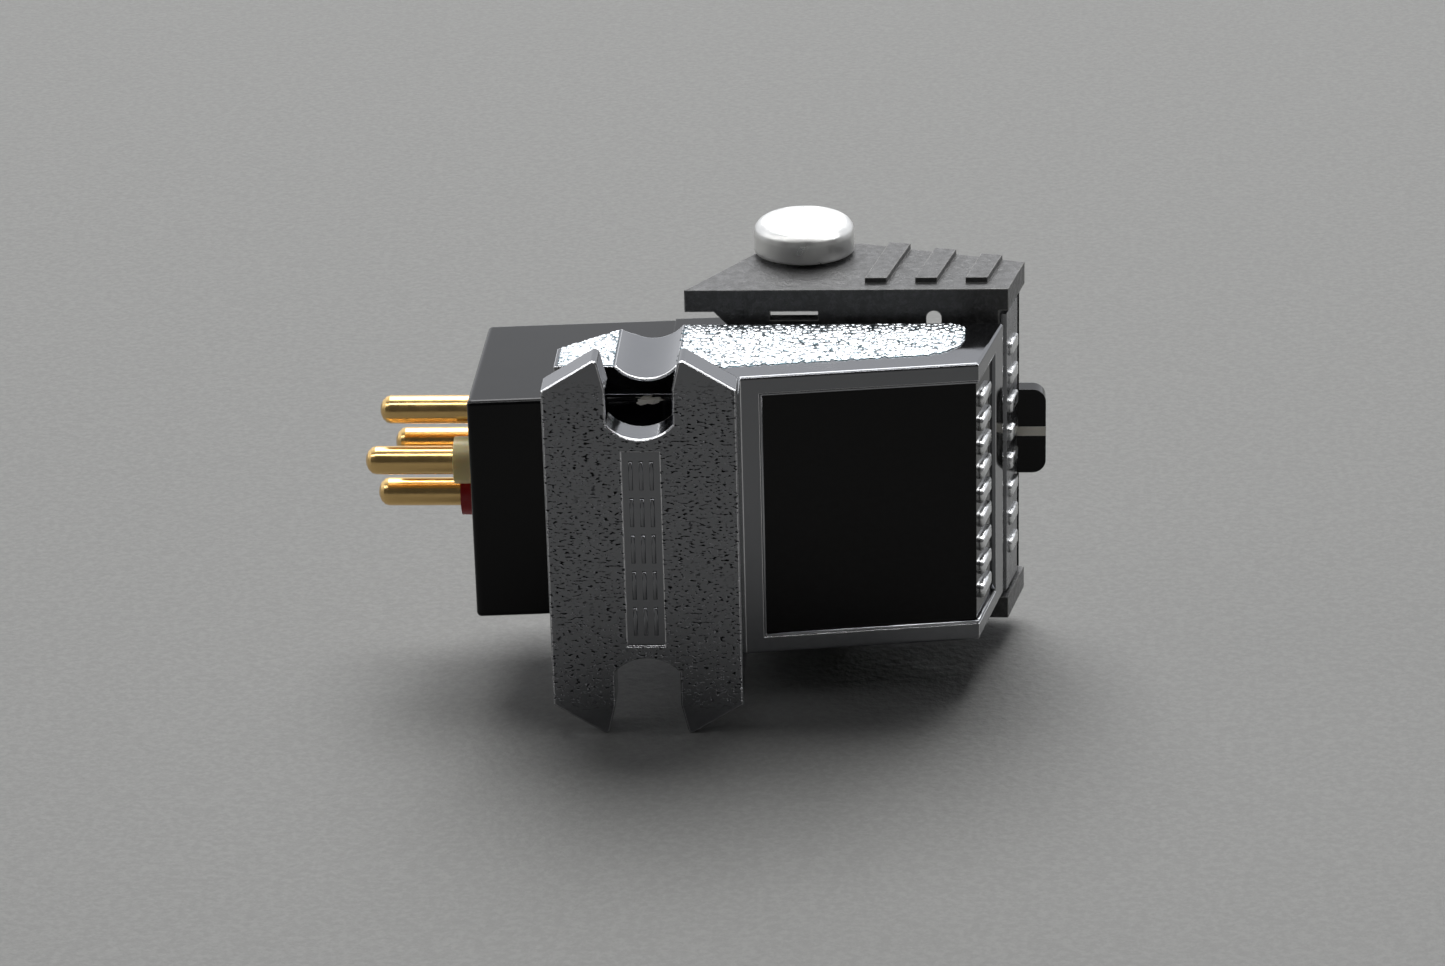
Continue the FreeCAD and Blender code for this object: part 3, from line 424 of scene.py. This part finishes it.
class CARTRIDGE_OT_finishes(bpy.types.Operator):
    """Gives every CAD node its finish"""
    bl_idname = "cartridge.finishes"
    bl_label = "Finishes"

    def execute(self, context):
        build_finishes()
        slots = {p["node"]: p["material_slot"] for p in frame["record"]["subparts"]}
        for name, node in frame["nodes"].items():
            finish = OWN_FINISH.get(name, slots[name])
            node.data.materials.clear()
            node.data.materials.append(FINISHES[finish])
        return {"FINISHED"}


class CARTRIDGE_OT_pebbles(bpy.types.Operator):
    """Pebbled skin on the sides of the hood, in front of and behind the screw channel"""
    bl_idname = "cartridge.pebbles"
    bl_label = "Pebbled sides"

    def execute(self, context):
        b = context.scene.cartridge_body
        channel, border, front_end, near_corner, far_corner = 1.36, 1.3, -13.65, 2.0, 0.9
        neck_reach, neck_gap, bottom_gap, ragged = 0.9, 0.05, 0.02, 0.24
        rear_end, rear_knee, rear_low, rear_gap = 3.85, 3.95, -6.88, 0.06
        rear_slope = math.tan(math.radians(42))

        def waver(x, y, z):
            """How far a wavering edge strays at that place."""
            return ragged * noise.noise(Vector((x, y, z)) / b.pebble)

        def round_off(distance, corner):
            """How far a rounded corner of that radius draws in, so far from the end."""
            into = max(0.0, 1 - distance / corner)
            return corner * (1 - math.sqrt(max(0.0, 1 - into ** 2)))

        def front_panel(side):
            def place(u, v, out):
                y = -channel + (front_end + channel) * u
                under_neck = y >= b.hood_rear_y + neck_reach
                top = b.wall_top - neck_gap if under_neck else hood_top_z(y) - border
                top -= round_off(y - front_end, near_corner) + waver(y, 0, 0)
                low = b.hood_bottom + bottom_gap + round_off(y - front_end, far_corner)
                z = top + (low - top) * v
                return Vector((side * (b.wall_x + out), y + waver(0, 0, z) * (1 - u), z))
            return place

        def rear_panel(side):
            def place(u, v, out):
                y = channel + (rear_end - channel) * u
                top = b.wall_top - rear_gap
                low = rear_low - (rear_knee - y) * rear_slope
                return Vector((side * (b.wall_x + out), y, top + (low - top) * v))
            return place

        for side, hand in ((1, "left"), (-1, "right")):
            form = pebble_skin(350, 120, front_panel(side), b.pebble, b.pebble_height)
            new_piece("pebbled_side_" + hand, form, "cartridge", "pebbles")
            form = pebble_skin(72, 110, rear_panel(side), b.pebble, b.pebble_height)
            new_piece("pebbled_rear_" + hand, form, "cartridge", "pebbles")
        return {"FINISHED"}


def raised_bar(form, centre, along, across, out, size):
    """Adds a plain bar with soft ends and a rounded crown; along, across and out are its own axes."""
    crown_share, crown_steps = 0.42, 3
    length, width, height = size
    made = bmesh.ops.create_cube(form, size=1.0)["verts"]
    axes = Matrix((along, across, out)).transposed().to_4x4()
    bmesh.ops.scale(form, vec=(length, width, height), verts=made)
    edges = {e for v in made for e in v.link_edges}
    crown = [e for e in edges if min(vert.co.z for vert in e.verts) > 0]
    bevelled = bmesh.ops.bevel(form, geom=crown, offset=min(width, height) * crown_share,
                               segments=crown_steps, affect="EDGES", profile=0.5, material=-1)
    parts = [v for v in set(made) | set(bevelled["verts"]) if v.is_valid]
    bmesh.ops.transform(form, matrix=Matrix.Translation(centre) @ axes, verts=parts)


class CARTRIDGE_OT_bars(bpy.types.Operator):
    """Plain raised bars in the flange's sunk strip, on the hood's front and on the stylus unit's plate"""
    bl_idname = "cartridge.bars"
    bl_label = "Raised bars"

    def execute(self, context):
        b = context.scene.cartridge_body
        blocks, block_pitch, row_pitch, strip_z = 5, 1.68, 0.44, -0.12
        form = bmesh.new()
        for block in range(blocks):
            x = (block - (blocks - 1) / 2) * block_pitch
            for row in (-1, 0, 1):
                centre = Vector((x, row * row_pitch, strip_z))
                raised_bar(form, centre, ACROSS, LENGTHWISE, UPWARD, (1.28, 0.17, 0.16))
        new_piece("cartouche_bars", form, "cartridge", "chrome_shell")

        down = Vector((0, -math.sin(b.front_lean), -math.cos(b.front_lean)))
        out = Vector((0, -math.cos(b.front_lean), math.sin(b.front_lean)))
        sideways = down.cross(out)

        def front_row(count, pitch, z, stands_out, size):
            """Upright bars in a row over the leaning front."""
            row = bmesh.new()
            for i in range(count):
                x = (i - (count - 1) / 2) * pitch
                raised_bar(row, Vector((x, front_y(z), z)) + out * stands_out, down, sideways, out, size)
            return row

        form = front_row(9, 1.12, -6.45, -0.1, (1.6, 0.6, 0.34))
        # the bars take the paler chrome: a painted highlight
        new_piece("front_bars", form, "cartridge", "bar_chrome")
        form = front_row(8, 1.35, -11.75, 0.02, (1.3, 0.6, 0.24))
        new_piece("stylus_plate_bars", form, "stylus", "bar_chrome")
        return {"FINISHED"}


class CARTRIDGE_OT_bead(bpy.types.Operator):
    """Bright bead round the black window, in the edge of the hood's frame"""
    bl_idname = "cartridge.bead"
    bl_label = "Window bead"

    def execute(self, context):
        b = context.scene.cartridge_body
        width, height, below = 0.13, 0.14, 0.09
        half, rear_y = b.wall_x - b.frame_bar, b.hood_rear_y - b.frame_bar
        foot_z = b.hood_bottom + b.sill
        rear = Vector((0, rear_y, hood_top_z(rear_y)))
        bend = Vector((0, b.hood_front_y, b.hood_front_z))
        foot = Vector((0, front_y(foot_z), foot_z))
        form = bmesh.new()
        for start, end in ((rear, bend), (bend, foot)):
            run = (end - start).normalized()
            out = run.cross(ACROSS)
            for side in (-1, 1):
                middle = (start + end) / 2 - out * below + ACROSS * side * (half - width / 2)
                raised_bar(form, middle, run, ACROSS, out, ((end - start).length, width, height))
        run = (bend - rear).normalized()
        out = run.cross(ACROSS)
        raised_bar(form, rear - out * below + run * width / 2, ACROSS, run, out, (2 * half, width, height))
        # the bead takes chrome painted paler than the hood's: a painted highlight
        new_piece("window_bead", form, "cartridge", "bead_chrome")
        return {"FINISHED"}


class CARTRIDGE_OT_rims(bpy.types.Operator):
    """Rolled rim where each screw channel ends below the flange's slot"""
    bl_idname = "cartridge.rims"
    bl_label = "Channel rims"

    def execute(self, context):
        b = context.scene.cartridge_body
        rim_radius, rim_sides, rim_steps = 0.07, 12, 32
        upright = Matrix.Rotation(math.radians(90), 3, "X")
        reach = math.acos((b.channel_radius - b.channel_depth) / b.channel_radius)
        for side, hand in ((1, "left"), (-1, "right")):
            centre = Vector((side * (b.wall_x - b.channel_depth + b.channel_radius), 0, b.wall_top))
            form = bmesh.new()
            ring = bmesh.ops.create_circle(form, cap_ends=True, segments=rim_sides,
                                           radius=rim_radius)["verts"]
            bmesh.ops.rotate(form, cent=(0, 0, 0), matrix=upright, verts=ring)
            bmesh.ops.translate(form, vec=centre - ACROSS * side * b.channel_radius, verts=ring)
            bmesh.ops.rotate(form, cent=centre, matrix=Matrix.Rotation(-reach, 3, "Z"), verts=ring)
            geometry = form.verts[:] + form.edges[:] + form.faces[:]
            bmesh.ops.spin(form, geom=geometry, cent=centre, axis=UPWARD, angle=2 * reach, steps=rim_steps)
            # the rim takes the bars' paler chrome: a painted highlight
            new_piece("channel_rim_" + hand, form, "cartridge", "bar_chrome")
        return {"FINISHED"}


class CARTRIDGE_OT_residue(bpy.types.Operator):
    """Smear of dried residue on the terminal housing's edge, seen through the screw slot"""
    bl_idname = "cartridge.residue"
    bl_label = "Residue"

    def execute(self, context):
        edge, half = Vector((4.8, 0.15, -4.95)), Vector((0.19, 0.7, 0.06))
        uneven, lump, drift = 0.7, 2.6, 0.1
        form = bmesh.new()
        bmesh.ops.create_icosphere(form, subdivisions=4, radius=1.0)
        for vert in form.verts:
            spread = 1 + uneven * noise.noise(vert.co * lump)
            vert.co = edge + Vector((vert.co.x * half.x * spread - vert.co.y * drift,
                                     vert.co.y * half.y * spread, vert.co.z * half.z))
        new_piece("residue", form, "cartridge", "residue")
        return {"FINISHED"}


def build_floor(scene):
    """Floor that the part lies on, touching the flange's end and the knob's rounded edge."""
    half = 0.6
    flange_edge = Vector((SHELL_LOW.x, 0, 0)) * MM
    knob_edge = Vector((KNOB_LOW.x, 0, KNOB_LOW.z + KNOB_EDGE)) * MM
    rise = flange_edge - knob_edge
    upright = Matrix.Rotation(math.radians(90) + math.atan2(rise.x, rise.z), 3, "Y")
    form = bmesh.new()
    bmesh.ops.create_grid(form, x_segments=1, y_segments=1, size=half)
    bmesh.ops.rotate(form, cent=(0, 0, 0), matrix=upright, verts=form.verts)
    bmesh.ops.translate(form, vec=flange_edge, verts=form.verts)
    mesh = bpy.data.meshes.new("floor")
    form.to_mesh(mesh)
    form.free()
    if mesh.polygons[0].normal.x < 0:
        mesh.flip_normals()
    mesh.materials.append(paper_floor())
    floor = bpy.data.objects.new("floor", mesh)
    scene.collection.objects.link(floor)


def build_lamps(scene, s):
    """Large softbox above and behind, a small one for the pins, and two strips that only gloss shows."""
    target = Vector((0.0, -0.003, -0.008))

    def lamp(name, at, size, power):
        light = bpy.data.lights.new(name, "AREA")
        light.shape = "RECTANGLE"
        light.size, light.size_y = size
        light.energy = power
        holder = bpy.data.objects.new(name, light)
        holder.location = at
        holder.rotation_mode = "QUATERNION"
        holder.rotation_quaternion = (target - Vector(at)).to_track_quat("-Z", "Y")
        scene.collection.objects.link(holder)
        return holder

    def over_floor(degrees, side, reach):
        """Place at that elevation, on the viewer's side (1) or behind (-1), in metres."""
        elevation = math.radians(degrees)
        return (reach * math.sin(elevation), target.y, side * reach * math.cos(elevation) + target.z)

    lamp("main_softbox", over_floor(56, -1, 0.8), (0.6, 0.62), s.main_power)
    lamp("terminal_softbox", (0.16, 0.29, 0.0), (0.15, 0.25), s.terminal_power)
    edge_strip = lamp("edge_strip", over_floor(67, 1, 0.34), (0.8, 0.045), s.front_power)
    side_strip = lamp("side_strip", (0.2, -0.22, 0.02), (0.2, 0.08), s.side_power)
    for strip in (edge_strip, side_strip):
        strip.visible_diffuse = False


def build_world(scene, s):
    """Pale backdrop that the camera, metal and glass see, and a dim room on the viewer's side."""
    behind_z, viewer_z = -0.45, 0.25
    world = bpy.data.worlds.new("studio")
    world.use_nodes = True
    scene.world = world
    tree = world.node_tree
    tree.nodes.clear()

    def mix(factor, a, b):
        return add(tree, "Mix", {"data_type": "RGBA"}, {"Factor": factor, 6: a, 7: b}).outputs[2]

    path = add(tree, "LightPath", {}, {}).outputs
    mirrored = add(tree, "Math", {"operation": "MAXIMUM"},
                   {0: path["Is Glossy Ray"], 1: path["Is Transmission Ray"]}).outputs[0]
    way = add(tree, "TexCoord", {}, {}).outputs["Generated"]
    to_viewer = add(tree, "SeparateXYZ", {}, {"Vector": way}).outputs[2]
    front = add(tree, "MapRange", {"interpolation_type": "SMOOTHSTEP"},
                {"Value": to_viewer, "From Min": behind_z, "From Max": viewer_z,
                 "To Min": 0.0, "To Max": 1.0}).outputs[0]
    seen = mix(mirrored, srgb(s.fill), mix(front, srgb(s.backdrop), srgb(s.room)))
    seen = mix(path["Is Camera Ray"], seen, srgb(s.backdrop))
    air = add(tree, "Background", {}, {"Color": seen, "Strength": 1.0}).outputs[0]
    add(tree, "OutputWorld", {}, {"Surface": air})
    scene.view_settings.view_transform = "Standard"


def build_camera(scene, s):
    """Camera at the photo's angle and distance. It was fitted to the part's corners."""
    yaw, pitch, roll, place_mm = -0.0588, 0.3988, 0.0259, (3.3449, 2.8491, 189.987)
    on_its_side = Matrix(((0, -1, 0), (1, 0, 0), (0, 0, 1)))
    turn = Matrix.Rotation(roll, 3, "Z") @ Matrix.Rotation(pitch, 3, "X") @ Matrix.Rotation(yaw, 3, "Y")
    aim = (turn @ on_its_side).transposed()
    camera = bpy.data.cameras.new("camera")
    camera.lens, camera.sensor_width = s.focal, 36.0
    camera.clip_start, camera.clip_end = 0.01, 10
    holder = bpy.data.objects.new("camera", camera)
    holder.matrix_world = Matrix.Translation(aim @ Vector(place_mm) * MM) @ aim.to_4x4()
    scene.collection.objects.link(holder)
    scene.camera = holder


class CARTRIDGE_OT_stage(bpy.types.Operator):
    """Pale floor under the side that the cartridge lies on, soft light from above, and the camera"""
    bl_idname = "cartridge.stage"
    bl_label = "Stage"

    def execute(self, context):
        scene = context.scene
        build_floor(scene)
        build_lamps(scene, scene.cartridge_stage)
        build_world(scene, scene.cartridge_stage)
        build_camera(scene, scene.cartridge_stage)
        return {"FINISHED"}


OPERATORS = (CARTRIDGE_OT_finishes, CARTRIDGE_OT_pebbles, CARTRIDGE_OT_bars, CARTRIDGE_OT_bead,
             CARTRIDGE_OT_rims, CARTRIDGE_OT_residue, CARTRIDGE_OT_stage)


class CARTRIDGE_PT_panel(bpy.types.Panel):
    """Lists the steps that dress the cartridge"""
    bl_label = "Phono Cartridge"
    bl_idname = "CARTRIDGE_PT_panel"
    bl_space_type = "VIEW_3D"
    bl_region_type = "UI"
    bl_category = "Cartridge"

    def draw(self, context):
        for operator in OPERATORS:
            self.layout.operator(operator.bl_idname)


CLASSES = (BodySettings, StageSettings) + OPERATORS + (CARTRIDGE_PT_panel,)


def register():
    for cls in CLASSES:
        bpy.utils.register_class(cls)
    bpy.types.Scene.cartridge_body = bpy.props.PointerProperty(type=BodySettings)
    bpy.types.Scene.cartridge_stage = bpy.props.PointerProperty(type=StageSettings)


def unregister():
    del bpy.types.Scene.cartridge_stage
    del bpy.types.Scene.cartridge_body
    for cls in reversed(CLASSES):
        bpy.utils.unregister_class(cls)


def main():
    register()
    bpy.ops.cartridge.finishes()
    bpy.ops.cartridge.pebbles()
    bpy.ops.cartridge.bars()
    bpy.ops.cartridge.bead()
    bpy.ops.cartridge.rims()
    bpy.ops.cartridge.residue()
    bpy.ops.cartridge.stage()


if __name__ == "__main__":
    main()
